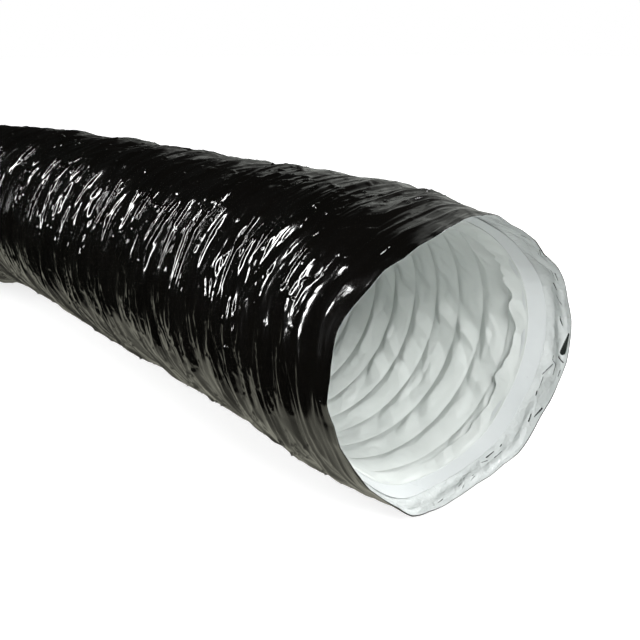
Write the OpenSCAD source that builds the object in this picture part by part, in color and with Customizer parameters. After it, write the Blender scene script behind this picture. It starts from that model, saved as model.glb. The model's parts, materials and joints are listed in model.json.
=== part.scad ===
// Insulated flexible air duct.
// A round duct that lies on a floor: a thin inner liner on a spring-wire helix, an outer ply over the
// wire, an insulating blanket, and a loose outer jacket. Both ends are dressed alike: the jacket runs
// past the liner, is turned in as a hem, and a tape closes the end of the blanket.
// Origin: centre of the bore at the cut edge of the liner at the front end. +X points out of the front
// mouth, the duct runs towards -X, +Z is up.
// The last but one section is bent sideways, so the rear end points towards -X and -Y.

/* [Bore and liner] */
// Bore of the liner at its ribs
bore_d = 254; // [160:2:356]
// Wall of the liner
liner_t = 0.6; // [0.3:0.1:1.2]
// How far the liner swells outwards between two ribs
liner_bulge = 1.6; // [0.4:0.2:4]
// Width of a rib on the inside of the bend, where the liner is stretched over the wire
rib_w = 6; // [3:0.5:10]
// Distance between two turns of the wire, which is also the distance between two ribs
rib_pitch = 36; // [24:1:50]
// Turns of wire in one section
turns = 5; // [3:1:8]
// Wire of the helix
wire_d = 1.6; // [1:0.1:3]
// Wall of the outer ply over the wire
wrap_t = 0.4; // [0.2:0.1:1]

/* [Blanket and jacket] */
// Thickness of the insulating blanket where the jacket is drawn in
blanket_t = 10; // [6:0.5:30]
// Wall of the jacket
jacket_t = 0.8; // [0.6:0.1:1.6]
// Height of the jacket's puffs above the places where it is drawn in
puff_h = 4; // [1:0.5:8]
// Puffs of the jacket in one section
puffs = 2; // [1:1:4]
// Depth of the flat on which each puff lies on the floor
foot_cut = 0.5; // [0.3:0.1:0.5]

/* [Ends] */
// Length of each plain end, from its mouth to the first section
cuff_len = 66; // [56:1:100]
// How much the radius is drawn in at the mouth
mouth_draw = 3; // [0:0.5:5]
// Length of the jacket's turned-in hem
hem_len = 17; // [10:1:22]
// Wall of the hem
hem_t = 0.5; // [0.3:0.1:1]
// Distance from the mouth to the cut edge of the liner
liner_inset = 43; // [36:1:46]
// Wall of the tape that closes the end of the blanket
tape_t = 0.5; // [0.3:0.1:1]
// Length of the tape behind the edge of the liner
tape_lap = 7; // [4:1:9]

/* [Run] */
// Angle of the sideways bend
bend_a = 30; // [10:1:40]
// Gap between two coaxial layers
layer_gap = 0.3; // [0.2:0.05:0.5]

/* [Hidden] */
SECTIONS = 7;
BENT = 6;

FILM_BLACK = "#0d0b0a";
FILM_WHITE = "#e9ecef";
WOOL_GREY = "#c9c7bd";
STEEL = "#8a8d90";

// Smoothness: sides of a circle, steps of a rib or puff, rings of one turn of wire and sides of the wire.
$fn = 96;
RIB_STEPS = 6;
WIRE_RINGS = 24;
WIRE_SIDES = 4;
// Share of the bend's short side that its puffs take up
PUFF_SHARE = 0.9;

section_len = turns * rib_pitch;
puff_len = section_len / puffs;
run_len = 2 * cuff_len + SECTIONS * section_len;

// Radii, from the bore outwards. The wire is a polygon of WIRE_RINGS chords to a turn, and the middle of
// each chord stays clear of the liner.
bore_r = bore_d / 2;
liner_out_r = bore_r + liner_bulge + liner_t;
wire_r = (liner_out_r + layer_gap + wire_d / 2) / cos(180 / WIRE_RINGS);
wrap_r = wire_r + wire_d / 2 + layer_gap;
blanket_r = wrap_r + wrap_t + layer_gap;
jacket_in_r = blanket_r + blanket_t + layer_gap;
jacket_r = jacket_in_r + jacket_t;
under_jacket = -(jacket_t + layer_gap);
floor_z = -(jacket_r + puff_h - foot_cut);
// Far enough to pass the jacket from the run's axis
reach = 2 * (jacket_r + puff_h);

// The mouth stands in front of the cut edge of the liner. The bend's axis is an arc as long as a section,
// round a centre beside the run.
mouth_x = liner_inset;
bend_r = section_len / (bend_a * PI / 180);
bend_x = mouth_x - cuff_len - (BENT - 1) * section_len;

// Profile of a layer: a list of [distance along the run, radius].
function radii(points, add) = [for (p = points) [p[0], p[1] + add]];
function steps(count) = [for (k = [0 : count]) k / count];

// Liner at its inner face: narrow at each rib, swollen between two ribs.
function liner_swell(u) = bore_r + liner_bulge * abs(sin(180 * u));
function liner_profile() = [for (u = steps(turns * RIB_STEPS)) [u * section_len, liner_swell(u * turns)]];

// Jacket at its outer face: drawn in at both ends of a section, and puffed between.
function puff(u) = jacket_r + puff_h * pow(sin(180 * u), 2);
function jacket_profile() = [for (u = steps(puffs * RIB_STEPS)) [u * section_len, puff(u * puffs)]];
function mouth_swell(u) = jacket_r - mouth_draw * (1 - u * u * (3 - 2 * u));
function cuff_profile() = [for (u = steps(RIB_STEPS)) [u * cuff_len, mouth_swell(u)]];
function cuff_r(s) = lookup(s, cuff_profile());

// A layer that is wall thick between an outer and an inner profile, round the run's axis.
module layer(outer, inner) {
    ends = concat(outer, [for (k = [len(inner) - 1 : -1 : 0]) inner[k]]);
    rotate([0, -90, 0]) rotate_extrude() polygon([for (p = ends) [p[1], p[0]]]);
}

module tube(r, wall, from, to) {
    layer([[from, r + wall], [to, r + wall]], [[from, r], [to, r]]);
}

// The bend's frame: its centre, turned so that angle 0 is where the bend starts.
module bend_frame(a = 0) {
    translate([bend_x, -bend_r, 0]) rotate([0, 0, a]) children();
}

// A solid round bar of radius r along the bend's axis.
module bend_bar(r) {
    bend_frame(90) rotate_extrude(angle = bend_a) translate([bend_r, 0]) circle(r);
}

module bend_tube(r, wall) {
    bend_frame(90) rotate_extrude(angle = bend_a) translate([bend_r, 0]) difference() {
        circle(r + wall);
        circle(r);
    }
}

// The bar that fills the jacket's outer face in the bend, puffs included, made larger by add. The puffs
// are as long as the short side of the bend leaves room for, and their feet lie under the bar's surface.
module bend_puffs(add) {
    short_r = bend_r - jacket_r - puff_h;
    half = PUFF_SHARE * short_r * tan(bend_a / puffs / 2);
    foot_r = jacket_r - half * half / short_r + add;
    top_r = jacket_r + puff_h + add;
    union() {
        bend_bar(jacket_r + add);
        for (k = [1 : puffs]) bend_frame((k - 0.5) * bend_a / puffs) translate([0, bend_r, 0])
            rotate([0, -90, 0]) rotate_extrude()
                polygon([[0, -half], [foot_r, -half], [top_r, 0], [foot_r, half], [0, half]]);
    }
}

// Puts a straight piece that starts at the origin where section i starts.
module section_frame(i) {
    if (i < BENT) {
        translate([mouth_x - cuff_len - (i - 1) * section_len, 0, 0]) children();
    } else {
        past = (i - BENT - 1) * section_len;
        bend_frame(bend_a) translate([-past, bend_r, 0]) children();
    }
}

// Puts a piece that is drawn from a mouth inwards at the front end or at the rear end.
module end_frame(end) {
    if (end == "front") {
        translate([mouth_x, 0, 0]) children();
    } else {
        section_frame(SECTIONS + 1) translate([-cuff_len, 0, 0]) mirror([1, 0, 0]) children();
    }
}

// Cuts a piece flat where it lies on the floor.
module above_floor() {
    difference() {
        children();
        translate([-2 * run_len, -run_len, floor_z - reach]) cube([3 * run_len, 2 * run_len, reach]);
    }
}

module jacket(i) {
    color(FILM_BLACK) above_floor() {
        if (i == BENT) {
            difference() {
                bend_puffs(0);
                bend_puffs(-jacket_t);
            }
        } else {
            section_frame(i) layer(jacket_profile(), radii(jacket_profile(), -jacket_t));
        }
    }
}

module blanket(i) {
    color(WOOL_GREY) {
        if (i == BENT) {
            difference() {
                bend_puffs(under_jacket);
                bend_bar(blanket_r);
            }
        } else {
            section_frame(i) layer(radii(jacket_profile(), under_jacket),
                [[0, blanket_r], [section_len, blanket_r]]);
        }
    }
}

module core_wrap(i) {
    color(FILM_WHITE) {
        if (i == BENT) {
            bend_tube(wrap_r, wrap_t);
        } else {
            section_frame(i) tube(wrap_r, wrap_t, 0, section_len);
        }
    }
}

// In the bend the liner is a plain tube with a ring for each rib, and half a ring at either end.
module liner(i) {
    color(FILM_WHITE) {
        if (i == BENT) {
            bend_tube(bore_r + liner_bulge, liner_t);
            for (k = [0 : turns]) bend_frame(k * bend_a / turns) translate([0, bend_r, 0])
                tube(bore_r, liner_bulge + liner_t / 2, k == 0 ? 0 : -rib_w / 2, k == turns ? 0 : rib_w / 2);
        } else {
            section_frame(i) layer(radii(liner_profile(), liner_t), liner_profile());
        }
    }
}

// A point of the run: s along the axis from the front mouth, y and z across it.
function placed(s, y, z) =
    let (
        past = s - mouth_x + bend_x,
        a = bend_a * min(max(past / section_len, 0), 1),
        more = past < 0 ? past : max(past - section_len, 0)
    )
    [bend_x - (bend_r + y) * sin(a) - more * cos(a), -bend_r + (bend_r + y) * cos(a) - more * sin(a), z];

// Corners of ring k of the wire in section i, on a right-hand helix. The wire starts and ends beside the
// axis, where its end face is flat and meets the next section's wire.
function wire_ring(i, k) =
    let (
        s = cuff_len + (i - 1) * section_len + k * rib_pitch / WIRE_RINGS,
        a = 360 * k / WIRE_RINGS
    )
    [for (c = [0 : WIRE_SIDES - 1])
        let (
            t = 360 * (c + 0.5) / WIRE_SIDES,
            r = wire_r + wire_d / 2 * cos(t)
        )
        placed(s - wire_d / 2 * sin(t), r * cos(a), -r * sin(a))];

function wire_centres(i) = [for (k = [0 : turns * WIRE_RINGS])
    let (ring = wire_ring(i, k)) (ring[0] + ring[2]) / 2];

// Least gap of the wire to itself, between points that lie half a turn or more apart.
function wire_gap(i) =
    let (p = wire_centres(i), n = len(p), half = WIRE_RINGS / 2)
    min([for (k = [0 : n - half - 1]) for (m = [k + half : n - 1]) norm(p[m] - p[k])]) - wire_d;
echo(least_wire_gap = min([for (i = [1 : SECTIONS]) wire_gap(i)]));

module wire(i) {
    rings = turns * WIRE_RINGS;
    points = [for (k = [0 : rings]) each wire_ring(i, k)];
    sides = [for (k = [0 : rings - 1]) for (c = [0 : WIRE_SIDES - 1])
        let (
            a = k * WIRE_SIDES + c,
            b = k * WIRE_SIDES + (c + 1) % WIRE_SIDES
        )
        each [[a, b, b + WIRE_SIDES], [a, b + WIRE_SIDES, a + WIRE_SIDES]]];
    last = rings * WIRE_SIDES;
    caps = [for (c = [1 : WIRE_SIDES - 2]) each [[0, c + 1, c], [last, last + c, last + c + 1]]];
    color(STEEL) polyhedron(points, concat(sides, caps));
}

module jacket_cuff(end) {
    color(FILM_BLACK) above_floor() end_frame(end)
        layer(cuff_profile(), radii(cuff_profile(), -jacket_t));
}

// The hem lies just inside the jacket, from the mouth inwards.
module hem(end) {
    jacket_face = [[0, cuff_r(0)], [hem_len, cuff_r(hem_len)]];
    color(FILM_WHITE) end_frame(end)
        layer(radii(jacket_face, under_jacket), radii(jacket_face, under_jacket - hem_t));
}

// Tape: a cone from the end of the hem to the cut edge of the liner, and a lap behind that edge.
tape_lap_r = bore_r + liner_t + layer_gap;
tape_rim_r = cuff_r(hem_len) - jacket_t - 2 * layer_gap - tape_t;
function tape_inner() = [
    [hem_len + layer_gap, tape_rim_r],
    [liner_inset, tape_lap_r],
    [liner_inset + tape_lap, tape_lap_r]
];
module edge_tape(end) {
    color(FILM_WHITE) end_frame(end) layer(radii(tape_inner(), tape_t), tape_inner());
}

// Where the front face of the blanket stands at a given radius: just behind the tape's cone.
function behind_tape(r) =
    let (slope = (liner_inset - hem_len - layer_gap) / (tape_rim_r - tape_lap_r))
    liner_inset - (r - tape_lap_r - tape_t) * slope + 2 * layer_gap;

module blanket_cuff(end) {
    rim_r = tape_rim_r + tape_t;
    behind = [for (p = cuff_profile()) if (p[0] > behind_tape(rim_r) + layer_gap) p];
    outer = concat([[behind_tape(rim_r), rim_r]], radii(behind, under_jacket));
    color(WOOL_GREY) end_frame(end)
        layer(outer, [[behind_tape(blanket_r), blanket_r], [cuff_len, blanket_r]]);
}

module core_wrap_cuff(end) {
    color(FILM_WHITE) end_frame(end)
        tube(wrap_r, wrap_t, liner_inset + tape_lap, cuff_len);
}

module liner_cuff(end) {
    color(FILM_WHITE) end_frame(end) tube(bore_r, liner_t, liner_inset, cuff_len);
}

for (end = ["front", "rear"]) {
    jacket_cuff(end);
    hem(end);
    edge_tape(end);
    blanket_cuff(end);
    core_wrap_cuff(end);
    liner_cuff(end);
}
for (i = [1 : SECTIONS]) {
    jacket(i);
    blanket(i);
    core_wrap(i);
    wire(i);
    liner(i);
}
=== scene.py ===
"""Looks of an insulated flexible air duct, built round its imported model. Lengths are in metres."""
import json
import math

import bmesh
import bpy
import numpy as np
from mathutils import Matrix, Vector


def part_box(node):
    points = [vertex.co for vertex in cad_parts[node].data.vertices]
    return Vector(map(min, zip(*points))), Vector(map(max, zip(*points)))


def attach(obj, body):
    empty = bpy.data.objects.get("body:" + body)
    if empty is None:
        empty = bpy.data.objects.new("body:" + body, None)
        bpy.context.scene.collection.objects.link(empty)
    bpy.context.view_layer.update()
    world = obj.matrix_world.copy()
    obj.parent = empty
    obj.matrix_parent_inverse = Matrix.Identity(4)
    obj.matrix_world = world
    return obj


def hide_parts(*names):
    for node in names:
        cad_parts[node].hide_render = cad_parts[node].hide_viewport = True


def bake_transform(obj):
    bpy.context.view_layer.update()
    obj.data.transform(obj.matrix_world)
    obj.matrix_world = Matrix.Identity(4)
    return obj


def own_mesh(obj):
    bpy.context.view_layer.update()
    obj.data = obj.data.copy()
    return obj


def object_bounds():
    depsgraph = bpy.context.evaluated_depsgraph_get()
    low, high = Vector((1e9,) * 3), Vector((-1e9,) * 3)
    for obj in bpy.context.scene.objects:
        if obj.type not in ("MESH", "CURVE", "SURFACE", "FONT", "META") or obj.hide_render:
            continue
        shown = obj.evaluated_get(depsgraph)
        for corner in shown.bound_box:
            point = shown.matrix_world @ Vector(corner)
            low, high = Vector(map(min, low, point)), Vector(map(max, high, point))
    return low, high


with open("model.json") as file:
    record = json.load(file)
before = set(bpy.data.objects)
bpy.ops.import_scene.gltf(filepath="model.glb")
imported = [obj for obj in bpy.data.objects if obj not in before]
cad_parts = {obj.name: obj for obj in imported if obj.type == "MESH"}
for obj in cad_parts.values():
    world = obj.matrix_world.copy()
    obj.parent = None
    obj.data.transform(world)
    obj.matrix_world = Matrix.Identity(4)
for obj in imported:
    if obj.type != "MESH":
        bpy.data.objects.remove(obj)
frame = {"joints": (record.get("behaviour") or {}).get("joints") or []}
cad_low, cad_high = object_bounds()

MM = 0.001
TAU = 2 * math.pi

# ------------------------------------------------------------------ sizes of the run, from the frame
SECTIONS = 7
BENT = 6
# Turns of the wire in a section
TURNS = 5
mouth_low, mouth_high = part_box("front_jacket_cuff")
first_low, first_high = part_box("jacket_1")
MOUTH_X = mouth_high.x
CUFF = mouth_high.x - mouth_low.x
SECTION = first_high.x - first_low.x
RIB_PITCH = SECTION / TURNS
RUN = 2 * CUFF + SECTIONS * SECTION
BODY_R = first_high.z
FLOOR_Z = cad_low.z

rear_slide = next(j for j in frame["joints"] if j["name"] == "shorten_7")
BEND = math.atan2(rear_slide["axis"][1], rear_slide["axis"][0])
BEND_R = SECTION / BEND
BEND_START = CUFF + (BENT - 1) * SECTION
BEND_X = MOUTH_X - BEND_START

# Walls of the films, half the wire's thickness, and the gap between two layers
LINER_WALL = 0.6 * MM
WIRE_HALF = 0.8 * MM
PLY_WALL = 0.4 * MM
LAYER_GAP = 0.3 * MM

LINER_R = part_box("front_liner_cuff")[1].z - LINER_WALL
WIRE_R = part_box("wire_1")[1].y - WIRE_HALF
PLY_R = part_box("core_wrap_1")[1].z
LINER_INSET = MOUTH_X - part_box("front_liner_cuff")[1].x
# The mouth's radius before it hangs out of round
MOUTH_R = 141.3 * MM


def ease(t):
    """A rise from 0 to 1 that starts and ends level."""
    return t * t * (3 - 2 * t)


def ramp(x, low, high):
    """0 before low, 1 after high, and a smooth rise between."""
    return ease(np.clip((x - low) / (high - low), 0.0, 1.0))


def on_run(s, turn, radius):
    """Points at distance s from the front mouth. turn is 0 at the top and 0.25 at +Y."""
    y = radius * np.sin(TAU * turn)
    z = radius * np.cos(TAU * turn)
    past = s - BEND_START
    a = BEND * np.clip(past / SECTION, 0.0, 1.0)
    more = np.where(past < 0, past, np.maximum(past - SECTION, 0.0))
    x = BEND_X - (BEND_R + y) * np.sin(a) - more * np.cos(a)
    across = (BEND_R + y) * np.cos(a) - BEND_R - more * np.sin(a)
    return np.stack([x, across, z], -1)


def section_start(i):
    """Distance from the front mouth to the start of section i."""
    return CUFF + (i - 1) * SECTION


def axis_point(s):
    return Vector(on_run(np.array(float(s)), np.array(0.0), np.array(0.0)))


# ------------------------------------------------------------------ camera
EYE = Vector((0.609, -0.554, 0.274))
SIGHT = Vector((-0.7823, 0.5541, -0.2845))
LENS_MM = 51.97
SENSOR_MM = 36.0
camera = bpy.data.objects.new("camera", bpy.data.cameras.new("camera"))
camera.data.lens = LENS_MM
camera.data.sensor_width = SENSOR_MM
camera.location = EYE
camera.rotation_euler = SIGHT.to_track_quat("-Z", "Y").to_euler()
bpy.context.scene.collection.objects.link(camera)
bpy.context.scene.camera = camera


# ------------------------------------------------------------------ creases
class Creases:
    """Seeded heights from -1 to 1 on a lattice over the whole run, closed round the tube."""

    MARGIN = 8

    def __init__(self, seed, cell, count):
        draw = np.random.default_rng(seed)
        self.cell = cell
        self.count = count
        self.heights = draw.uniform(-1.0, 1.0, (int(RUN / cell) + 2 * self.MARGIN, count))

    def corners(self, s, turn):
        """Place within a cell of the lattice, and the heights of the cell's four corners."""
        u = s / self.cell
        v = turn * self.count
        i = np.floor(u).astype(int)
        j = np.floor(v).astype(int)
        row = np.clip(i + self.MARGIN, 0, len(self.heights) - 2)
        j0, j1 = j % self.count, (j + 1) % self.count
        h = self.heights
        return u - i, v - j, h[row, j0], h[row + 1, j0], h[row, j1], h[row + 1, j1]

    def soft(self, s, turn):
        """Rounded swells between the corners."""
        u, v, a, b, c, d = self.corners(s, turn)
        u, v = ease(u), ease(v)
        return (a * (1 - u) + b * u) * (1 - v) + (c * (1 - u) + d * u) * v

    def flat(self, s, turn):
        """Flat triangles with a crease along every edge."""
        u, v, a, b, c, d = self.corners(s, turn)
        low = a + (b - a) * u + (c - a) * v
        high = d + (c - d) * (1 - u) + (b - d) * (1 - v)
        return np.where(u + v < 1, low, high)


# Seed, length of a cell along the run, and number of cells round it
DRIFT = Creases(11, 0.070, 7)
DRIFT_FINE = Creases(12, 0.026, 16)
SWAY = Creases(13, 0.050, 9)
VIGOUR = Creases(14, 0.034, 12)
GATHER = Creases(63, 0.0125, 14)
GATHER_WIDE = Creases(64, 0.0185, 11)
GATHER_MID = Creases(21, 0.0075, 25)
GATHER_FINE = Creases(23, 0.0040, 47)
PANEL = Creases(24, 0.0170, 21)
PINCH = Creases(27, 0.0058, 120)
LUMP = Creases(25, 0.060, 9)
DIMPLE = Creases(26, 0.026, 13)

# Places along the run where the jacket is drawn in, and how deep in mm
DRAWN_IN = (
    (0.345, 3.4), (0.440, 4.6), (0.545, 3.2), (0.650, 4.6), (0.800, 5.8),
    (0.885, 3.6), (0.985, 4.4), (1.085, 4.8), (1.180, 4.4), (1.275, 4.0),
)
DRAWN_IN_HALF = 0.017
# Radius in mm of the slack jacket at places along the run, where it hangs slimmer than it is cut
HANG = (
    (0.0, 145.8), (0.08, 146.0), (0.16, 144.5), (0.26, 142.5), (0.40, 140.5),
    (0.50, 140.5), (0.60, 141.0), (0.76, 139.5), (0.88, 137.5), (0.98, 136.0),
    (1.06, 134.6), (1.20, 134.6), (1.30, 140.0), (1.392, 145.8),
)
# How far in mm the middle of the slack jacket stands above the axis at places along the run
LIFT = (
    (0.0, 0.0), (0.06, 1.0), (0.14, 3.8), (0.24, 4.2),
    (0.40, 3.0), (0.55, 1.5), (0.80, 0.0), (1.392, 0.0),
)
# On the floor the slack jacket is as full as it is cut, but for this much
FULL_LESS = 1.6 * MM
# The higher, the narrower the strip that lies full on the floor
KEEL = 16
# Over this length from a mouth the jacket swells to its own radius
JACKET_SWELL = 0.095
# Radius in mm of the front mouth's edge at angles in degrees, from the top past +Y
RIM = {
    -163: 143.0, -140: 138.0, -115: 138.5, -92: 145.0, -70: 148.0, -54: 139.0,
    -30: 130.0, -8: 128.0, 9: 136.5, 26: 133.5, 48: 137.0, 70: 147.0,
    91: 149.0, 105: 145.0, 122: 138.0, 140: 137.0, 160: 130.5, 179: 132.5,
}
# The mouths are out of round over this length. The rear one is a mirror image of the front one, turned by
# this share of a turn and milder by this factor.
MOUTH_REACH = 0.150
REAR_TURN = 0.35
REAR_SHARE = 0.6
# Heights in mm of the jacket's creases, and how far the ground between the gathers is lowered
GATHER_HEIGHT = 2.1
GATHER_WIDE_HEIGHT = 3.1
GATHER_MID_HEIGHT = 0.75
GATHER_FINE_HEIGHT = 0.13
GATHER_GROUND = 0.9
FACET_HEIGHT = 2.0
PINCH_HEIGHT = 2.9
PINCH_SHARPNESS = 7
# Where the jacket rests on its back, it keeps this wall, and creases at least this high on it
JACKET_WALL = 0.4 * MM
LEAST_CREASE = 0.3 * MM
# Depth of the jacket's unseen back under its creaseless radius, and its gap to the outer ply
JACKET_BACK_DEPTH = 7.0 * MM
JACKET_BACK_GAP = 0.9 * MM


def rim_radius(turn):
    """Radius of the front mouth, which hangs a little out of round."""
    angles = np.array(sorted(RIM), float)
    radii = np.array([RIM[a] for a in sorted(RIM)]) * MM
    at = (turn * 360.0 + 180.0) % 360.0 - 180.0
    angles = np.concatenate([angles[-2:] - 360, angles, angles[:2] + 360])
    radii = np.concatenate([radii[-2:], radii, radii[:2]])
    k = np.clip(np.searchsorted(angles, at) - 1, 1, len(angles) - 3)
    span = angles[k + 1] - angles[k]
    t = (at - angles[k]) / span
    slope_a = (radii[k + 1] - radii[k - 1]) / (angles[k + 1] - angles[k - 1]) * span
    slope_b = (radii[k + 2] - radii[k]) / (angles[k + 2] - angles[k]) * span
    return (
        (2 * t**3 - 3 * t**2 + 1) * radii[k] + (t**3 - 2 * t**2 + t) * slope_a
        + (3 * t**2 - 2 * t**3) * radii[k + 1] + (t**3 - t**2) * slope_b
    )


def out_of_round(s, turn, reach=MOUTH_REACH):
    """What the mouths add to the radius of everything near them."""
    front = (rim_radius(turn) - MOUTH_R) * (1 - ramp(s, 0.0, reach))
    rear = (rim_radius(REAR_TURN - turn) - MOUTH_R) * (1 - ramp(RUN - s, 0.0, reach)) * REAR_SHARE
    return front + rear


def crest(swell):
    """Turns soft swells into sharp crests where they change sign."""
    return 1 - 2 * np.abs(swell)


def ridge(swell, width):
    """Round narrow ridges, 1 high, where a soft swell changes sign, on a flat ground."""
    return ease(np.clip(1 - np.abs(swell) / width, 0.0, 1.0))


def jacket_creases(s, turn, slack):
    """Height of the gathers, which run round the duct, and of the facets, which reach the mouth."""
    along = s + 11 * MM * DRIFT.soft(s, turn) + 4.5 * MM * DRIFT_FINE.soft(s, turn)
    round_ = turn + 0.024 * SWAY.soft(s, turn)
    loose = ramp(s, 0.50, 0.75)
    vigour = 1.05 + 0.12 * loose + 0.45 * VIGOUR.soft(s, turn)
    gathers = GATHER_HEIGHT * (1 - loose) * ridge(GATHER.soft(along, round_), 0.60)
    gathers = gathers + GATHER_WIDE_HEIGHT * loose * ridge(GATHER_WIDE.soft(along, round_), 0.60)
    gathers = gathers + GATHER_MID_HEIGHT * ridge(GATHER_MID.soft(along, round_ + 0.01), 0.50)
    gathers = gathers + GATHER_FINE_HEIGHT * GATHER_FINE.soft(along, round_) - GATHER_GROUND
    facets = FACET_HEIGHT * PANEL.flat(along, round_)
    pinches = PINCH_HEIGHT * np.abs(PINCH.flat(along, turn)) ** PINCH_SHARPNESS
    return (slack * vigour * gathers + slack**3 * pinches + (0.40 + 0.60 * slack) * facets) * MM


def hang(s, turn):
    """The slack jacket's own radius. It lies full on the floor and hangs slimmer above it."""
    places, radii = np.array(HANG).T
    lifted, lifts = np.array(LIFT).T
    own = np.interp(s, places, radii) + np.interp(s, lifted, lifts) * np.cos(TAU * turn)
    full = BODY_R - FULL_LESS
    keel = ((1 - np.cos(TAU * turn)) / 2) ** KEEL
    return full - (full - MM * own) * (1 - keel)


def jacket_profile(s, turn):
    """The jacket's radius without its creases."""
    end = np.minimum(s, RUN - s)
    start = ramp(end, 0.0, JACKET_SWELL)
    return MOUTH_R * (1 - start) + hang(s, turn) * start + out_of_round(s, turn)


def jacket_back_radius(s, turn):
    """Radius of the jacket's unseen back in the sections, under its deepest crease."""
    return np.maximum(jacket_profile(s, turn) - JACKET_BACK_DEPTH, PLY_R + JACKET_BACK_GAP)


def resting_creases(s, turn):
    """Height of the creases that stay in the film where it rests on the layer under it."""
    along = s + 9 * MM * DRIFT.soft(s, turn + 0.31) + 4 * MM * DRIFT_FINE.soft(s, turn + 0.17)
    gathers = 1.5 * ridge(GATHER_WIDE.soft(along + 0.1, turn), 0.60)
    gathers = gathers + 0.9 * ridge(GATHER_MID.soft(along, turn), 0.60)
    return (0.9 + gathers + 0.9 * PANEL.flat(along, turn)) * MM


def jacket_shape(s, turn):
    """Outer radius of the jacket."""
    end = np.minimum(s, RUN - s)
    wander = s + 0.016 * LUMP.soft(s, turn)
    slack = ramp(end, 0.0, 0.080)
    radius = jacket_profile(s, turn)
    for place, depth in DRAWN_IN:
        near = np.exp(-(((wander - place) / DRAWN_IN_HALF) ** 2))
        radius = radius - depth * MM * ramp(s, 0.20, 0.36) * near
    radius = radius + 1.6 * MM * DIMPLE.soft(s, turn) * slack
    radius = radius + jacket_creases(s, turn, 0.20 + 0.80 * slack)
    creases = np.maximum(resting_creases(s, turn), LEAST_CREASE)
    resting = jacket_back_radius(s, turn) + creases * slack + JACKET_WALL
    return np.where(end > CUFF, np.maximum(radius, resting), radius)


def jacket_face(s, turn):
    return s, jacket_shape(s, turn)


def jacket_back(s, turn):
    return s, jacket_back_radius(s, turn)


# ------------------------------------------------------------------ tubes
def surface(face, rows, around):
    """Points, normals and unbent places of a face of the tube, on rows along the run and columns round it."""
    rows = np.asarray(rows, float)
    ghosts = np.concatenate([[2 * rows[0] - rows[1]], rows, [2 * rows[-1] - rows[-2]]])
    s, turn = np.meshgrid(ghosts, np.arange(around) / around, indexing="ij")
    moved_s, radius = face(s, turn)
    points = on_run(moved_s, turn, radius)
    points[..., 2] = np.maximum(points[..., 2], FLOOR_Z)
    along = points[2:] - points[:-2]
    round_ = (np.roll(points, -1, 1) - np.roll(points, 1, 1))[1:-1]
    normals = np.cross(round_, along)
    normals /= np.maximum(np.linalg.norm(normals, axis=-1, keepdims=True), 1e-12)
    unbent = np.stack([moved_s, radius * np.sin(TAU * turn), radius * np.cos(TAU * turn)], -1)
    return points[1:-1], normals, unbent[1:-1]


def flat_grid(name, rows, columns):
    """A flat grid, and the places of its vertices as shares from 0 to 1."""
    bm = bmesh.new()
    bmesh.ops.create_grid(bm, x_segments=rows, y_segments=columns, size=1.0)
    mesh = bpy.data.meshes.new(name)
    bm.to_mesh(mesh)
    bm.free()
    place = np.zeros(len(mesh.vertices) * 3, np.float32)
    mesh.vertices.foreach_get("co", place)
    return mesh, (place.reshape(-1, 3) + 1) / 2


def ring_grid(name, rows, around):
    """A grid that will be closed both ways: rows of a wall's section by columns round the axis."""
    mesh, share = flat_grid(name, rows, around)
    row = np.rint(share[:, 0] * rows).astype(int) % rows
    column = np.rint(share[:, 1] * around).astype(int) % around
    return mesh, row, column


def set_vectors(mesh, name, vectors):
    layer = mesh.attributes.new(name, "FLOAT_VECTOR", "POINT")
    layer.data.foreach_set("vector", vectors.astype(np.float32).ravel())


def get_vectors(mesh, name):
    vectors = np.zeros(len(mesh.vertices) * 3, np.float32)
    mesh.attributes[name].data.foreach_get("vector", vectors)
    return vectors.reshape(-1, 3)


# Vertices nearer than this are one
MERGE = 0.001 * MM


def close_mesh(mesh):
    """Merges the seams, closes open ends, turns the faces outwards and smooths them."""
    bm = bmesh.new()
    bm.from_mesh(mesh)
    bmesh.ops.remove_doubles(bm, verts=bm.verts, dist=MERGE)
    if any(e.is_boundary for e in bm.edges):
        bmesh.ops.holes_fill(bm, edges=[e for e in bm.edges if e.is_boundary])
    if bm.calc_volume(signed=True) < 0:
        bmesh.ops.reverse_faces(bm, faces=bm.faces)
    for f in bm.faces:
        f.smooth = len(f.verts) == 4
    bm.to_mesh(mesh)
    bm.free()
    piece = bpy.data.objects.new(mesh.name, mesh)
    bpy.context.scene.collection.objects.link(piece)
    return piece


def tube(name, outer, inner, outer_rows, inner_rows, around, shown="outer"):
    """A piece of tube between an outer and an inner face. The shown face keeps the run's own normals."""
    outer_rows, inner_rows = np.asarray(outer_rows, float), np.asarray(inner_rows, float)
    rows = len(outer_rows) + len(inner_rows)
    mesh, row, column = ring_grid(name, rows, around)
    outside = row < len(outer_rows)
    inner_row = rows - 1 - row
    places, normals, unbent = (np.zeros((len(row), 3)) for _ in range(3))
    for side, face, side_rows, index, sign in (
        (outside, outer, outer_rows, row, 1.0), (~outside, inner, inner_rows, inner_row, -1.0),
    ):
        p, n, flat = surface(face, side_rows, around)
        places[side] = p[index[side], column[side]]
        unbent[side] = flat[index[side], column[side]]
        if (shown == "outer") == (sign > 0):
            normals[side] = sign * n[index[side], column[side]]
    mesh.vertices.foreach_set("co", places.astype(np.float32).ravel())
    set_vectors(mesh, "film", unbent)
    set_vectors(mesh, "facing", normals)
    piece = close_mesh(mesh)
    facing = get_vectors(mesh, "facing")
    mesh.attributes.remove(mesh.attributes["facing"])
    mesh.normals_split_custom_set_from_vertices(facing.tolist())
    return piece


def steps(low, high, size):
    """Places from low to high, about size apart."""
    return np.linspace(low, high, max(2, int(round((high - low) / size)) + 1))


# ------------------------------------------------------------------ materials
# Sockets of a Mix node that mixes colours
MIX_FACTOR = 0
MIX_FIRST = 6
MIX_SECOND = 7
MIX_RESULT = 2
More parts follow.
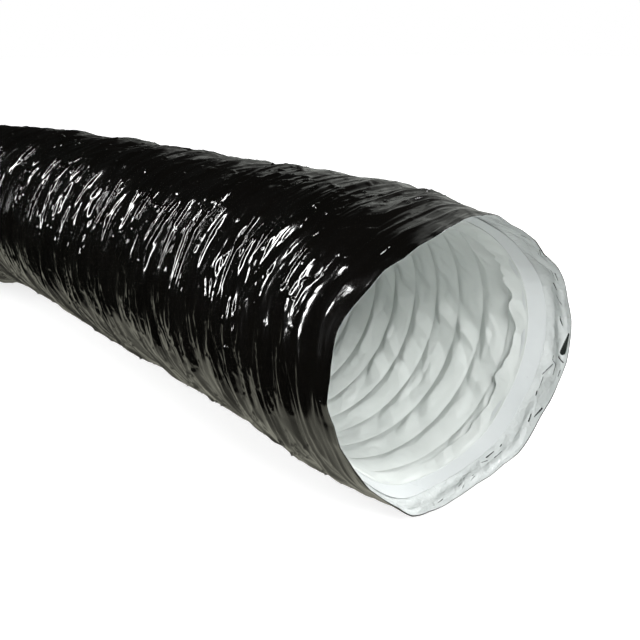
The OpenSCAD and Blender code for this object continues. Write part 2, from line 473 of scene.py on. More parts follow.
# A noise is nearly always between these values
NOISE_RANGE = (0.3, 0.7)
# Patterns that aren't stretched along the film
EVEN = (1, 1, 1)


def link(tree, a, b):
    tree.links.new(a, b)


def new_material(name):
    made = bpy.data.materials.new(name)
    made.use_nodes = True
    tree = made.node_tree
    return made, tree, tree.nodes["Principled BSDF"]


def node(tree, kind, **values):
    made = tree.nodes.new(kind)
    for key, value in values.items():
        if key in made.inputs:
            made.inputs[key].default_value = value
        else:
            setattr(made, key, value)
    return made


def film_place(tree, stretch=EVEN):
    """The film's own coordinates, scaled; stretch is (along the run, across, across)."""
    attribute = node(tree, "ShaderNodeAttribute", attribute_name="film")
    mapping = node(tree, "ShaderNodeMapping")
    mapping.inputs["Scale"].default_value = stretch
    link(tree, attribute.outputs["Vector"], mapping.inputs["Vector"])
    return mapping.outputs["Vector"]


def noise(tree, place, scale, detail=2.0, rough=0.5, distortion=0.0):
    values = {"Scale": scale, "Detail": detail, "Roughness": rough, "Distortion": distortion}
    made = node(tree, "ShaderNodeTexNoise", **values)
    link(tree, place, made.inputs["Vector"])
    return made.outputs["Fac"]


def turn_range(tree, value, source, target=(0.0, 1.0), kind="LINEAR"):
    """Turns the source range of a value into the target range."""
    made = node(tree, "ShaderNodeMapRange", interpolation_type=kind)
    made.inputs["From Min"].default_value, made.inputs["From Max"].default_value = source
    made.inputs["To Min"].default_value, made.inputs["To Max"].default_value = target
    link(tree, value, made.inputs["Value"])
    return made.outputs["Result"]


def fade(tree, value, source, target=(0.0, 1.0)):
    """As turn_range, with a smooth start and end."""
    return turn_range(tree, value, source, target, "SMOOTHSTEP")


def span(tree, value, low, high):
    """Spreads a noise over low to high."""
    return turn_range(tree, value, NOISE_RANGE, (low, high))


def product(tree, a, b):
    made = node(tree, "ShaderNodeMath", operation="MULTIPLY")
    link(tree, a, made.inputs[0])
    link(tree, b, made.inputs[1])
    return made.outputs[0]


def tint(tree, value, dark, light):
    made = node(tree, "ShaderNodeMix", data_type="RGBA")
    made.inputs[MIX_FIRST].default_value = (*dark, 1)
    made.inputs[MIX_SECOND].default_value = (*light, 1)
    link(tree, value, made.inputs[MIX_FACTOR])
    return made.outputs[MIX_RESULT]


def bump(tree, value, distance, under=None):
    """Relief of the given height, on top of another relief if there is one under it."""
    made = node(tree, "ShaderNodeBump", Distance=distance, Strength=1.0)
    link(tree, value, made.inputs["Height"])
    if under is not None:
        link(tree, under, made.inputs["Normal"])
    return made.outputs["Normal"]


def set_colour(tree, shader, value, dark, light):
    link(tree, tint(tree, value, dark, light), shader.inputs["Base Color"])


def set_roughness(tree, shader, value, low, high):
    link(tree, span(tree, value, low, high), shader.inputs["Roughness"])


def set_relief(tree, shader, value, distance, under=None):
    link(tree, bump(tree, value, distance, under), shader.inputs["Normal"])


def jacket_material():
    made, tree, shader = new_material("black_gloss_film")
    streak = film_place(tree, (1.0, 0.28, 0.28))
    broad = noise(tree, film_place(tree), 9.0, 3.0)
    set_colour(tree, shader, broad, (0.0020, 0.0018, 0.0015), (0.0046, 0.0040, 0.0034))
    set_roughness(tree, shader, noise(tree, streak, 60.0), 0.09, 0.20)
    crinkles = bump(tree, noise(tree, streak, 190.0, 2.0, 0.55, 0.6), 0.0003)
    set_relief(tree, shader, noise(tree, streak, 520.0), 0.00004, crinkles)
    shader.inputs["Coat Weight"].default_value = 0.8
    shader.inputs["Coat Roughness"].default_value = 0.035
    return made


def liner_material():
    made, tree, shader = new_material("white_liner_film")
    place = film_place(tree)
    set_colour(tree, shader, noise(tree, place, 22.0, 4.0), (0.735, 0.775, 0.750), (0.805, 0.835, 0.815))
    set_roughness(tree, shader, noise(tree, place, 40.0), 0.38, 0.58)
    dents = bump(tree, noise(tree, place, 70.0, 1.0, 0.4), 0.0007)
    set_relief(tree, shader, noise(tree, place, 700.0), 0.00005, dents)
    return made


def tape_material():
    made, tree, shader = new_material("satin_white_tape")
    place = film_place(tree)
    set_colour(tree, shader, noise(tree, place, 14.0, 3.0), (0.675, 0.71, 0.715), (0.755, 0.78, 0.78))
    set_roughness(tree, shader, noise(tree, place, 30.0), 0.26, 0.40)
    set_relief(tree, shader, noise(tree, place, 60.0), 0.0006)
    return made


def hem_material():
    """White film, dark where it is torn, for the black jacket seen through the tear, and with painted shade
    in its sharp creases.
    """
    made, tree, shader = new_material("clear_white_hem_film")
    place = film_place(tree)
    pale = tint(tree, noise(tree, place, 45.0, 4.0), (0.56, 0.595, 0.59), (0.76, 0.79, 0.78))
    tear_and_crease_shade_mark = node(tree, "ShaderNodeAttribute", attribute_name="tears_and_shaded_creases")
    # Dark in the tears, for the black jacket behind them, and painted shade along the sharp creases
    creased = node(tree, "ShaderNodeMix", data_type="RGBA")
    link(tree, turn_range(tree, tear_and_crease_shade_mark.outputs["Fac"], (0.30, 0.75)), creased.inputs[MIX_FACTOR])
    link(tree, pale, creased.inputs[MIX_FIRST])
    creased.inputs[MIX_SECOND].default_value = (0.020, 0.024, 0.022, 1)
    link(tree, creased.outputs[MIX_RESULT], shader.inputs["Base Color"])
    set_roughness(tree, shader, noise(tree, place, 60.0), 0.10, 0.26)
    set_relief(tree, shader, noise(tree, place, 160.0, 3.0, 0.5, 0.8), 0.0014)
    return made


def ply_material():
    made, tree, shader = new_material("outer_ply_film")
    place = film_place(tree)
    set_colour(tree, shader, noise(tree, place, 30.0, 3.0), (0.60, 0.62, 0.63), (0.72, 0.74, 0.75))
    set_roughness(tree, shader, noise(tree, place, 60.0), 0.35, 0.50)
    set_relief(tree, shader, noise(tree, place, 120.0), 0.0008)
    return made


def wool_material():
    made, tree, shader = new_material("fibre_blanket")
    fibre = noise(tree, film_place(tree), 420.0, 5.0, 0.65, 2.0)
    set_colour(tree, shader, fibre, (0.52, 0.50, 0.44), (0.74, 0.72, 0.66))
    shader.inputs["Roughness"].default_value = 0.95
    shader.inputs["Sheen Weight"].default_value = 0.3
    set_relief(tree, shader, fibre, 0.0012)
    return made


def wire_material():
    made, tree, shader = new_material("spring_steel")
    drawn = noise(tree, film_place(tree), 300.0, 3.0)
    set_colour(tree, shader, drawn, (0.42, 0.43, 0.45), (0.58, 0.59, 0.61))
    set_roughness(tree, shader, drawn, 0.24, 0.38)
    shader.inputs["Metallic"].default_value = 1.0
    set_relief(tree, shader, drawn, 0.00005)
    return made


MATERIALS = {
    "jacket_film": jacket_material(),
    "white_film": hem_material(),
    "edge_tape": tape_material(),
    "liner_film": liner_material(),
    "core_ply": ply_material(),
    "insulation": wool_material(),
    "spring_wire": wire_material(),
}


# ------------------------------------------------------------------ how pieces are attached to the joints' bodies or baked
SHORTENING = (1, 4, 7)
# A gap from the bent section's end faces, which lean to its chord; follow moves the section's ends in by it,
# and nothing uses them
FACE_GAP = 1.0 * MM


def follow(piece, i):
    """A piece of a shortening section is attached to that section's body; a piece of any other section, the
    bent one too, is baked where it stands.
    """
    start, end = axis_point(section_start(i)), axis_point(section_start(i + 1))
    if i in SHORTENING:
        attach(piece, f"section_{i}")
        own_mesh(piece)
        return
    if i == BENT:
        lean = (end - start).normalized() * (BODY_R * math.sin(BEND / 2) + FACE_GAP)
        start, end = start + lean, end - lean
    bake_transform(piece)


def finish_piece(piece, slot, *nodes):
    """Gives a piece the material of its slot, and hides the nodes that it takes the place of."""
    piece.data.materials.append(MATERIALS[slot])
    if nodes:
        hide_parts(*nodes)


# A piece ends this much short of its section's end, so that neighbours never cut into each other
SEAM = 0.01 * MM
COARSE = 1
# Distance between rows of vertices along the run, and number of vertices round it
JACKET_STEP = 1.27 * MM * COARSE
JACKET_ROUND = 440 // COARSE
LINER_STEP = 1.3 * MM * COARSE
LINER_ROUND = 288 // COARSE
LAYER_STEP = 12 * MM
BACK_STEP = 20 * MM
LAYER_ROUND = 72
# In these sections the liner is too deep in the run to be seen well, and its rows are further apart
DEEP_SECTIONS = (3, 4, 5, 6)
DEEP_STEPS = 2


# ------------------------------------------------------------------ the liner and the wire
# Folds of the liner's film in one turn of a bay, which is the film between two turns of the wire
FOLDS = 40
FOLD_HEIGHTS = np.random.default_rng(36).uniform(-1.0, 1.0, FOLDS * 60)
BUCKLE = Creases(31, 0.016, 66)
BUCKLE_WIDE = Creases(32, 0.022, 38)
BUCKLE_DRIFT = Creases(33, 0.030, 16)
BUCKLE_LONG = Creases(35, 0.015, 44)
LINER_SAG = Creases(34, 0.050, 10)
# The core is pressed out of round with the mouths, by this share and over this length
WITH_CORE = 0.45
CORE_REACH = 0.120
# The wire holds the liner out by this much. The film between its turns sags in, most near the deeper turn.
HELD_OUT = 2.6 * MM
SAG = 3.4 * MM
SAG_AT = 0.64
# Height of the folds in a bay, of the creases across them and of the film's slow swells
FOLD_HEIGHT = 3.2 * MM
CREASE_HEIGHT = 1.1 * MM
SWELL_HEIGHT = 0.4 * MM
# Half width and depth of the groove that the wire presses into the film
GROOVE_HALF = 1.3 * MM
GROOVE_DEPTH = 0.3 * MM
# The liner's face stays inside this radius, and its back lies just outside it
LINER_MOST = LINER_R + 3.0 * MM
LINER_BACK = LINER_R + 3.4 * MM
WIRE_RINGS = 48
WIRE_SIDES = 8
# The blanket's outside stays this far under the jacket's creaseless radius and inside this radius
BLANKET_DEPTH = 7.5 * MM
BLANKET_MOST = BODY_R - 9.5 * MM
LEAST_BLANKET = 0.3 * MM


def rib_phase(s, turn):
    """Whole numbers at the wire, which climbs one pitch in each turn."""
    return (s - CUFF) / RIB_PITCH - (turn - 0.25)


def bay_share(s, turn):
    """0 at the wire, 1 where the slack film hangs furthest inwards, and 2 at the wire's next turn."""
    phase = rib_phase(s, turn)
    f = phase - np.floor(phase)
    return np.where(f < SAG_AT, f / SAG_AT, 1 + (f - SAG_AT) / (1 - SAG_AT))


def fold_height(s, turn):
    """Flat triangular folds in the bays, with their points at the wire, running on along the helix."""
    bay = np.floor(rib_phase(s, turn))
    across = bay_share(s, turn)
    along = (bay + turn + 8) * FOLDS + 0.7 * BUCKLE_DRIFT.soft(s, turn)
    j = np.floor(along).astype(int)
    v = along - j
    a, b = FOLD_HEIGHTS[j % len(FOLD_HEIGHTS)], FOLD_HEIGHTS[(j + 1) % len(FOLD_HEIGHTS)]
    rise = np.where(across + v < 1, a * across, np.where(across > 1, 0.0, b * across + (a - b) * (1 - v)))
    rest = 2 - across
    fall = np.where(rest + 1 - v < 1, b * rest, a * rest + (b - a) * v)
    return np.where(across < 1, rise, fall)


def pressed(s, turn):
    """What the mouths add to the radius of the core."""
    return WITH_CORE * out_of_round(s, turn, CORE_REACH)


def liner_shape(s, turn):
    """Radius of the liner's shown face."""
    phase = rib_phase(s, turn)
    away = np.abs(phase - np.rint(phase)) * RIB_PITCH
    groove = np.exp(-((away / GROOVE_HALF) ** 2))
    slack = 1 - np.abs(1 - bay_share(s, turn)) ** 1.5
    slack = slack * ramp(np.minimum(s, RUN - s), 0.045, 0.075)
    along = s + 5 * MM * BUCKLE_DRIFT.soft(s, turn)
    creased = 1.0 * BUCKLE.flat(along, turn) + 0.8 * BUCKLE_WIDE.flat(along, turn + 0.01)
    creased = creased + 0.5 * crest(BUCKLE_LONG.soft(along, turn))
    radius = LINER_R + HELD_OUT - SAG * slack + FOLD_HEIGHT * fold_height(s, turn)
    radius = radius + CREASE_HEIGHT * slack * creased + SWELL_HEIGHT * LINER_SAG.soft(s, turn)
    radius = np.minimum(radius + GROOVE_DEPTH * groove, LINER_MOST)
    return radius + pressed(s, turn)


def liner_face(s, turn):
    return s, liner_shape(s, turn)


def liner_back(s, turn):
    return s, LINER_BACK + pressed(s, turn)


def wire_piece(i):
    """A helix of TURNS turns, drawn as a round tube that is closed at both ends."""
    mesh, share = flat_grid(f"spring_wire_{i}", WIRE_RINGS * TURNS, WIRE_SIDES)
    around = TAU * np.rint(share[:, 1] * WIRE_SIDES) / WIRE_SIDES
    climb = 0.5 + (share[:, 0] - 0.5) * (1 - 2 * SEAM / (TURNS * TAU * WIRE_R))
    s = section_start(i) + climb * SECTION + WIRE_HALF * np.sin(around)
    turn = (0.25 + climb * TURNS) % 1.0
    places = on_run(s, turn, WIRE_R + pressed(s, turn) + WIRE_HALF * np.cos(around))
    mesh.vertices.foreach_set("co", places.astype(np.float32).ravel())
    set_vectors(mesh, "film", places)
    return close_mesh(mesh)


def core_layer(radius):
    """A layer next to the wire, which is pressed out of round with it."""
    return lambda s, turn: (s, radius + pressed(s, turn))


def blanket_outside(s, turn):
    """The blanket fills what is left between the core and the jacket."""
    inside = PLY_R + LAYER_GAP + LEAST_BLANKET + pressed(s, turn)
    return s, np.maximum(inside, np.minimum(BLANKET_MOST, jacket_profile(s, turn) - BLANKET_DEPTH))


blanket_inside = core_layer(PLY_R + LAYER_GAP)
ply_outside = core_layer(PLY_R)
ply_inside = core_layer(PLY_R - PLY_WALL)


def run_section(i):
    """Jacket, blanket, outer ply, wire and liner of a section."""
    s0, s1 = section_start(i) + SEAM, section_start(i + 1) - SEAM
    layer_rows = steps(s0, s1, LAYER_STEP)
    back_rows = steps(s0, s1, BACK_STEP)
    liner_rows = steps(s0, s1, LINER_STEP * (DEEP_STEPS if i in DEEP_SECTIONS else 1))

    jacket_rows = steps(s0, s1, JACKET_STEP)
    jacket = tube(f"jacket_film_{i}", jacket_face, jacket_back, jacket_rows, back_rows, JACKET_ROUND)
    finish_piece(jacket, "jacket_film", f"jacket_{i}")
    follow(jacket, i)
    blanket = tube(f"insulation_{i}", blanket_outside, blanket_inside, layer_rows, back_rows, LAYER_ROUND)
    finish_piece(blanket, "insulation", f"blanket_{i}")
    follow(blanket, i)
    ply = tube(f"core_ply_{i}", ply_outside, ply_inside, layer_rows, layer_rows, LAYER_ROUND)
    finish_piece(ply, "core_ply", f"core_wrap_{i}")
    follow(ply, i)
    wire = wire_piece(i)
    finish_piece(wire, "spring_wire", f"wire_{i}")
    follow(wire, i)
    liner = tube(
        f"liner_film_{i}", liner_back, liner_face, layer_rows, liner_rows, LINER_ROUND, shown="inner",
    )
    finish_piece(liner, "liner_film", f"liner_{i}")
    follow(liner, i)


for i in range(1, SECTIONS + 1):
    run_section(i)


# ------------------------------------------------------------------ the two ends
END_BODY = {"front": "section_1", "rear": "rear_end"}
RIM_WAVE = Creases(41, 0.5, 23)
RIM_STEP = Creases(46, 0.5, 43)
# How far the lip rolls in at the mouth's edge, and how far that edge and the film's small folds stray
LIP = 0.3 * MM
RIM_STRAY = 2.0 * MM
RIM_FOLD = 1.8 * MM
# Depth of the hem from the mouth, its gap to the jacket, and the height of its crinkles and its tears
HEM = 27 * MM
HEM_GAP = 0.35 * MM
HEM_HEIGHT = 1.05 * MM
TEAR_DEPTH = 1.0 * MM
# Over this width in mm a tear fades out at its sides
TEAR_FADE = 0.7
HEM_CRINKLE = Creases(42, 0.0065, 58)
HEM_CRINKLE_WIDE = Creases(43, 0.012, 31)
EDGE_TEAR = Creases(44, 0.5, 44)
EDGE_TEAR_FINE = Creases(45, 0.5, 118)
# The hem's colour is dark in these tears and has painted shade in these creases
# Tears and sharp creases in the hem, from one end to the other:
# distance from the rim and turn of each end, then the half width at each end (distances in mm)
TEARS = [
    (1.4, 0.2480, 4.4, 0.2690, 0.9, 2.7), (13.0, 0.1897, 10.5, 0.1975, 0.8, 0.5),
    (13.0, 0.2044, 8.0, 0.2153, 0.3, 0.4), (12.0, 0.2306, 11.5, 0.2342, 0.4, 0.5),
    (11.5, 0.2342, 8.5, 0.2400, 0.6, 0.4), (7.5, 0.2753, 1.5, 0.2800, 0.8, 0.5),
    (15.0, 0.2758, 15.0, 0.2803, 0.4, 0.3), (15.0, 0.2803, 9.5, 0.2839, 0.3, 0.4),
    (9.5, 0.2839, 8.0, 0.2958, 0.4, 0.3), (13.0, 0.2850, 19.0, 0.2989, 0.5, 0.4),
    (17.5, 0.3014, 16.8, 0.3150, 0.4, 0.3), (17.5, 0.3190, 16.5, 0.3233, 0.7, 0.8),
    (1.8, 0.2883, 1.6, 0.2953, 0.5, 0.4), (3.0, 0.3356, 6.0, 0.3475, 1.1, 0.6),
    (10.5, 0.3461, 9.0, 0.3553, 0.5, 0.8), (20.0, 0.4092, 20.0, 0.4211, 0.5, 1.0),
    (14.0, 0.4028, 13.5, 0.4158, 0.4, 0.6), (16.0, 0.4247, 18.5, 0.4317, 0.6, 0.4),
    (20.0, 0.3950, 19.5, 0.3983, 0.6, 0.6),
]
# The rest of the hem has more of them, here and there
MORE_TEARS = 44
draw = np.random.default_rng(51)
for _ in range(MORE_TEARS):
    about, depth = draw.uniform(0.44, 1.18), draw.uniform(2.0, 20.0)
    width, length, lean = draw.uniform(0.3, 0.8), draw.uniform(0.003, 0.012), draw.uniform(-4.0, 4.0)
    TEARS.append((depth, about, depth + lean, about + length, width, 0.6 * width))


def from_end(end, face):
    """Turns a face drawn from the front mouth inwards into the same face at the named end."""
    if end == "front":
        return face

    def mirrored(s, turn):
        moved_s, radius = face(RUN - s, 1 - turn)
        return RUN - moved_s, radius

    return mirrored


def rim_line(turn):
    """How far the mouth's edge stands in front of or behind its plane."""
    return RIM_STRAY * RIM_WAVE.soft(0 * turn, turn)


def rim_steps(s, turn):
    """Small folds that run out of the film at the mouth's edge."""
    return RIM_FOLD * RIM_STEP.flat(0 * turn, turn) * (1 - ramp(s, 0.0, 0.026))


def shifted(s, turn):
    """Moves the rows near the mouth with its edge."""
    return s + rim_line(turn) * (1 - ramp(s, 0.0, 0.03))


def lip_depth(s):
    """How far the rolled lip has fallen from its full thickness."""
    return 1 - np.sqrt(np.clip(1 - np.clip(1 - s / LIP, 0, 1) ** 2, 0, 1))


def cuff_face(s, turn):
    return shifted(s, turn), jacket_shape(s, turn) + rim_steps(s, turn) - LIP * lip_depth(s)


def cuff_back_radius(s, turn):
    """Radius of the film's inner side at the mouth, which draws away from the shown side further in."""
    under = np.minimum(jacket_shape(s, turn), jacket_profile(s, turn)) - 2.0 * LIP
    under = under - 2.0 * MM * ramp(s, 0.02, 0.05)
    return under + rim_steps(s, turn) + 0.5 * LIP * lip_depth(s)


def cuff_back(s, turn):
    return shifted(s, turn), cuff_back_radius(s, turn)


def tears_and_shaded_creases(s, turn):
    """1 in the tears and sharp creases of the hem, 0 away from them; the hem's colour is dark there, with
    painted shade in the creases.
    """
    mark = np.zeros(np.broadcast(s, turn).shape)
    for s_a, turn_a, s_b, turn_b, half_a, half_b in TEARS:
        round_ = ((turn - turn_a + 0.5) % 1.0 - 0.5) * TAU * MOUTH_R / MM
        along = s / MM - s_a
        run_round, run_along = (turn_b - turn_a) * TAU * MOUTH_R / MM, s_b - s_a
        t = np.clip((round_ * run_round + along * run_along) / (run_round**2 + run_along**2), 0, 1)
        away = np.hypot(round_ - t * run_round, along - t * run_along)
        inside = half_a + (half_b - half_a) * t - away
        mark = np.maximum(mark, np.clip(inside / TEAR_FADE + 0.5, 0, 1))
    return mark


def hem_face(s, turn):
    """The hem's shown side lies close to the jacket at the rim and comes down to the tape further in."""
    at = shifted(s, turn)
    crinkle = 1.3 * HEM_CRINKLE.flat(s, turn) + 1.7 * HEM_CRINKLE_WIDE.flat(s, turn)
    behind = cuff_back_radius(s, turn) - HEM_GAP
    near_rim = behind - 1.5 * MM * ramp(s, 0.002, 0.010)
    near_tape = tape_radius(s, turn) + 0.9 * MM
    down = ramp(s, 0.010, 0.026)
    radius = near_rim * (1 - down) + near_tape * down
    radius = radius + HEM_HEIGHT * crinkle * ramp(s, 0.0, 0.006) * (1 - 0.6 * down)
    radius = np.minimum(radius, behind - HEM_GAP * ramp(s, 0.0, 0.004))
    return at, np.minimum(radius + TEAR_DEPTH * tears_and_shaded_creases(at, turn), behind)


def mark_tears(piece, end):
    """Gives the hem's mesh the attribute that its colour reads: dark in the tears and painted shade in the
    sharp creases.
    """
    mesh = piece.data
    s, across, up = get_vectors(mesh, "film").T
    turn = np.arctan2(across, up) / TAU
    if end == "rear":
        s, turn = RUN - s, 1 - turn
    layer = mesh.attributes.new("tears_and_shaded_creases", "FLOAT", "POINT")
    layer.data.foreach_set("value", tears_and_shaded_creases(s, turn % 1.0).astype(np.float32))


def hem_back(s, turn):
    radius = cuff_back_radius(s, turn) - 0.10 * MM + 0.5 * MM * ramp(s, 0.0, 0.002)
    return shifted(s, turn), radius


# Where the tape starts and ends, and where its cone starts, from the mouth; the cone's radii in mm there and
# at the liner's edge; the length over which it is out of round, and its wall
TAPE = (0.0245, 0.052)
TAPE_CONE = 0.017
TAPE_FRONT_R = 138.0
TAPE_BACK_R = 128.6
TAPE_REACH = 0.130
TAPE_WALL = 0.5 * MM


def tape_radius(s, turn):
    """Radius of the tape's back, on a cone from the hem down to the edge of the liner."""
    cone = np.clip((s - TAPE_CONE) / (LINER_INSET - TAPE_CONE), 0, 1)
    base = (TAPE_FRONT_R * (1 - cone) + TAPE_BACK_R * cone) * MM
    share = 1 - 0.5 * cone
    return base + share * out_of_round(s, turn, TAPE_REACH)


def tape_face(s, turn):
    return shifted(s, turn), tape_radius(s, turn) - TAPE_WALL


def tape_back(s, turn):
    return shifted(s, turn), tape_radius(s, turn)


# Where the blanket, the outer ply and the liner start, from the mouth
BLANKET_START = 0.045
PLY_START = 0.054
LINER_START = LINER_INSET + 5 * MM
# Where the liner's turned-back end is folded, where its torn edge lies, and half its wall
TURNED = 0.040
TURNED_EDGE = 0.0575
TURNED_HALF = 0.25 * MM


def turned_crumple(s, turn):
    """Crumples of the turned-back film, which fade out at its fold."""
    wide = 1.0 * BUCKLE_WIDE.flat(s * 1.5, turn + 0.13) + 0.7 * BUCKLE.flat(s, turn + 0.3)
    return wide * MM * ramp(s, TURNED, TURNED + 0.005)


def turned_radius(s, turn):
    """The liner's end is folded back over the tape and lies on it down to the liner."""
    t = np.clip((s - TURNED) / (TURNED_EDGE - TURNED), 0, 1.4)
    front = tape_radius(np.full_like(s, TURNED), turn) - 1.0 * MM
    back = LINER_R - 2.0 * MM + pressed(s, turn)
    return front * (1 - t) + back * t + turned_crumple(s, turn)


def turned_s(s, turn):
    """The torn edge runs unevenly; the front line is a clean fold."""
    t = (s - TURNED) / (TURNED_EDGE - TURNED)
    ragged = 4.2 * MM * EDGE_TEAR.flat(0 * turn, turn) + 2.8 * MM * EDGE_TEAR_FINE.flat(0 * turn, turn)
    calm = 0.30 + 0.70 * ramp(np.cos(TAU * (turn - 0.17)), -0.2, 0.6)
    return s + ragged * calm * t


def turned_face(s, turn):
    at = turned_s(s, turn)
    return at, turned_radius(at, turn) - TURNED_HALF


def turned_back(s, turn):
    at = turned_s(s, turn)
    return at, turned_radius(at, turn) + TURNED_HALF


def liner_end_face(s, turn):
    return s, liner_shape(s, turn) + 0.9 * MM * (1 - ramp(s, 0.056, CUFF))


def liner_end_back(s, turn):
    return s, liner_shape(s, turn) + 1.6 * MM


def end_rows(end, start, stop, step, beyond):
    """Rows from the rim inwards, step apart in the hem and beyond apart further in."""
    own = steps(start, min(stop, HEM), step) if start < HEM else np.array([start])
    if stop > HEM:
        own = np.concatenate([own, steps(own[-1], stop, beyond)[1:]])
    if start == 0:
        own = np.insert(own, 1, (0.5 * LIP, LIP))
    return own if end == "front" else (RUN - own)[::-1]


def end_tube(end, name, outer, inner, reach, outer_steps, inner_steps, around, shown="outer"):
    """A piece of an end that reaches over the given distances from its mouth."""
    return tube(
        f"{end}_{name}", from_end(end, outer), from_end(end, inner), end_rows(end, *reach, *outer_steps),
        end_rows(end, *reach, *inner_steps), around, shown,
    )


def fit_end(piece, end, slot, *nodes):
    finish_piece(piece, slot, *(f"{end}_{name}" for name in nodes))
    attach(piece, END_BODY[end])


def dress_end(end):
    """Jacket end, hem, edge tape, blanket end, outer ply end, liner end and its turned-back edge."""
    fine, wide = (1.0 * MM, 1.0 * MM), (3 * MM, 3 * MM)
    ply_rows, wool_rows = (4 * MM, 4 * MM), (5 * MM, 5 * MM)

    jacket = end_tube(
        end, "jacket_cuff_film", cuff_face, cuff_back, (0.0, CUFF), (0.8 * MM, 1.1 * MM), (1.0 * MM, 6 * MM),
        JACKET_ROUND,
    )
    fit_end(jacket, end, "jacket_film", "jacket_cuff")
    hem = end_tube(
        end, "hem_film", hem_back, hem_face, (LIP, HEM), (4 * MM, 4 * MM), (0.6 * MM, 0.6 * MM),
        2 * JACKET_ROUND, "inner",
    )
    fit_end(hem, end, "white_film", "hem")
    mark_tears(hem, end)
    tape = end_tube(
        end, "tape_band", tape_back, tape_face, TAPE, (2.5 * MM, 5 * MM), (2.5 * MM, 1.5 * MM),
        LINER_ROUND, "inner",
    )
    fit_end(tape, end, "edge_tape", "edge_tape")
    wool = end_tube(
        end, "insulation_end", blanket_outside, blanket_inside, (BLANKET_START, CUFF), wool_rows, wool_rows,
        LAYER_ROUND,
    )
    fit_end(wool, end, "insulation", "blanket_cuff")
    ply = end_tube(
        end, "core_ply_end", ply_outside, ply_inside, (PLY_START, CUFF), ply_rows, ply_rows, LAYER_ROUND,
    )
    fit_end(ply, end, "core_ply", "core_wrap_cuff")
    liner = end_tube(
        end, "liner_end", liner_end_back, liner_end_face, (LINER_START, CUFF), wide, fine,
        LINER_ROUND, "inner",
    )
    fit_end(liner, end, "liner_film", "liner_cuff")
    turned = end_tube(
        end, "liner_turned_back", turned_back, turned_face, (TURNED, TURNED_EDGE), wide, fine,
        2 * LINER_ROUND, "inner",
    )
    fit_end(turned, end, "liner_film")


for end in END_BODY:
    dress_end(end)


# ------------------------------------------------------------------ floor, light and world
WHITE = (1, 1, 1, 1)
# The floor reaches this far from the origin, and lies this much under the duct
FLOOR_REACH = 30.0
FLOOR_DROP = 0.2 * MM


def floor_material():
    made = bpy.data.materials.new("pale_floor")
    made.use_nodes = True
    tree = made.node_tree
    tree.nodes.remove(tree.nodes["Principled BSDF"])
    path = node(tree, "ShaderNodeLightPath")
    place = node(tree, "ShaderNodeTexCoord")
    matt = node(tree, "ShaderNodeBsdfDiffuse")
    matt.inputs["Color"].default_value = (0.58, 0.58, 0.575, 1)
    # To the camera the floor glows, and away from the duct it is as white as the backdrop
    distance = node(tree, "ShaderNodeVectorMath", operation="LENGTH")
    link(tree, place.outputs["Object"], distance.inputs[0])
    whiter = fade(tree, distance.outputs["Value"], (1.2, 2.6), (0.80, 1.0))
    glow = node(tree, "ShaderNodeEmission")
    link(tree, product(tree, path.outputs["Is Camera Ray"], whiter), glow.inputs["Strength"])
    # In the film's reflection the pale strip of floor beside the duct fades into a dark room
    axes = node(tree, "ShaderNodeSeparateXYZ")
    link(tree, place.outputs["Object"], axes.inputs[0])
    off_axis = node(tree, "ShaderNodeMath", operation="ABSOLUTE")
    link(tree, axes.outputs["Y"], off_axis.inputs[0])
    mirrored = node(tree, "ShaderNodeEmission")
    mirrored.inputs["Color"].default_value = (1.0, 0.99, 0.82, 1)
    beside = fade(tree, off_axis.outputs[0], (0.198, 0.246), (0.30, 0.010))
    link(tree, beside, mirrored.inputs["Strength"])
    either = node(tree, "ShaderNodeMixShader")
    link(tree, path.outputs["Is Glossy Ray"], either.inputs[0])
    link(tree, matt.outputs[0], either.inputs[1])
    link(tree, mirrored.outputs[0], either.inputs[2])
    both = node(tree, "ShaderNodeAddShader")
    link(tree, either.outputs[0], both.inputs[0])
    link(tree, glow.outputs[0], both.inputs[1])
    link(tree, both.outputs[0], tree.nodes["Material Output"].inputs["Surface"])
    return made


def lay_floor():
    bm = bmesh.new()
    bmesh.ops.create_grid(bm, x_segments=1, y_segments=1, size=FLOOR_REACH)
    bmesh.ops.translate(bm, verts=bm.verts, vec=(0, 0, FLOOR_Z - FLOOR_DROP))
    mesh = bpy.data.meshes.new("floor")
    bm.to_mesh(mesh)
    bm.free()
    mesh.materials.append(floor_material())
    floor = bpy.data.objects.new("floor", mesh)
    bpy.context.scene.collection.objects.link(floor)


def background(tree, colour, strength):
    made = node(tree, "ShaderNodeBackground")
    made.inputs["Color"].default_value = colour
    made.inputs["Strength"].default_value = strength
    return made


def dim_wall(tree):
    """Light of a wall on the +Y side, which fades out between 48 and 68 degrees up and towards -X."""
    direction = node(tree, "ShaderNodeTexCoord").outputs["Generated"]
    axes = node(tree, "ShaderNodeSeparateXYZ")
    link(tree, direction, axes.inputs[0])
    sideways = fade(tree, axes.outputs["Y"], (0.30, 0.50))
    upwards = fade(tree, axes.outputs["Z"], (0.93, 0.74))
    lengthways = fade(tree, axes.outputs["X"], (-0.88, -0.76))
    wall = product(tree, product(tree, sideways, upwards), lengthways)
    # Uneven, so that the film's creases show where it mirrors the wall
    uneven = span(tree, noise(tree, direction, 7.0, 3.0), 0.15, 1.25)
    return turn_range(tree, product(tree, wall, uneven), (0.0, 1.0), (0.008, 0.56))


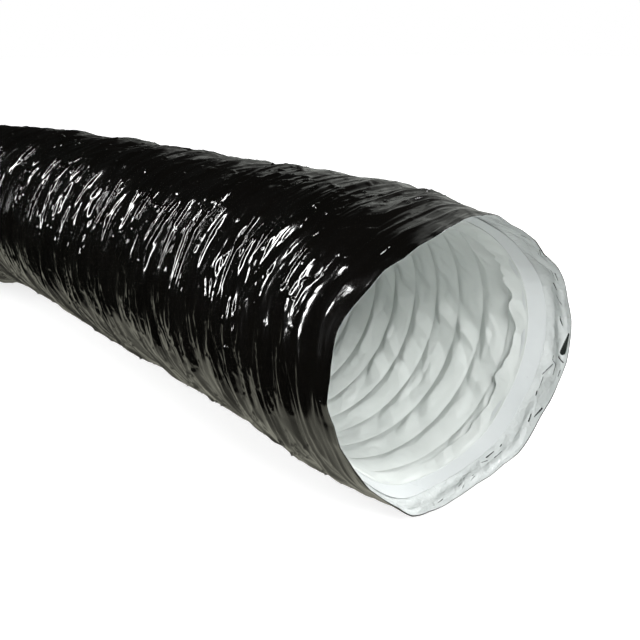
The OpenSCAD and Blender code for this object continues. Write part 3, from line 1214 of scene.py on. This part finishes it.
def studio_world():
    """White to the camera, a dim room to matt surfaces, and a dark room with one wall in reflections."""
    world = bpy.data.worlds.new("studio")
    bpy.context.scene.world = world
    world.use_nodes = True
    tree = world.node_tree
    room = tree.nodes["Background"]
    room.inputs["Color"].default_value = WHITE
    room.inputs["Strength"].default_value = 0.10
    backdrop = background(tree, WHITE, 1.0)
    dark_room = background(tree, (0.97, 1.0, 0.94, 1), 0.0)
    link(tree, dim_wall(tree), dark_room.inputs["Strength"])
    path = node(tree, "ShaderNodeLightPath")
    reflected = node(tree, "ShaderNodeMixShader")
    link(tree, path.outputs["Is Glossy Ray"], reflected.inputs[0])
    link(tree, room.outputs[0], reflected.inputs[1])
    link(tree, dark_room.outputs[0], reflected.inputs[2])
    shown = node(tree, "ShaderNodeMixShader")
    link(tree, path.outputs["Is Camera Ray"], shown.inputs[0])
    link(tree, reflected.outputs[0], shown.inputs[1])
    link(tree, backdrop.outputs[0], shown.inputs[2])
    link(tree, shown.outputs[0], tree.nodes["World Output"].inputs["Surface"])


def softbox(name, place, aim, width, height, power):
    """A lamp of width by height in metres that looks at aim; power is in watts."""
    data = bpy.data.lights.new(name, "AREA")
    data.shape = "RECTANGLE"
    data.size = width
    data.size_y = height
    data.energy = power
    lamp = bpy.data.objects.new(name, data)
    lamp.location = place
    lamp.rotation_euler = (Vector(aim) - Vector(place)).to_track_quat("-Z", "Z").to_euler()
    bpy.context.scene.collection.objects.link(lamp)
    return lamp


lay_floor()
studio_world()
side = softbox("side_strip", (-1.95, -3.55, 2.58), (-0.35, -0.10, 0.05), 0.45, 4.4, 190)
side.visible_diffuse = False
softbox("back_strip", (1.20, 3.10, 2.20), (-0.40, 0.10, 0.05), 0.36, 4.0, 110)
front = softbox("front_box", (2.20, -0.58, 1.42), (0.0, 0, 0), 1.2, 1.2, 70)
front.visible_glossy = False
rear = softbox("rear_box", (-3.30, -1.90, 0.95), (-1.38, -0.15, 0), 1.2, 1.2, 85)
rear.visible_glossy = False

bpy.context.scene.view_settings.view_transform = "Standard"
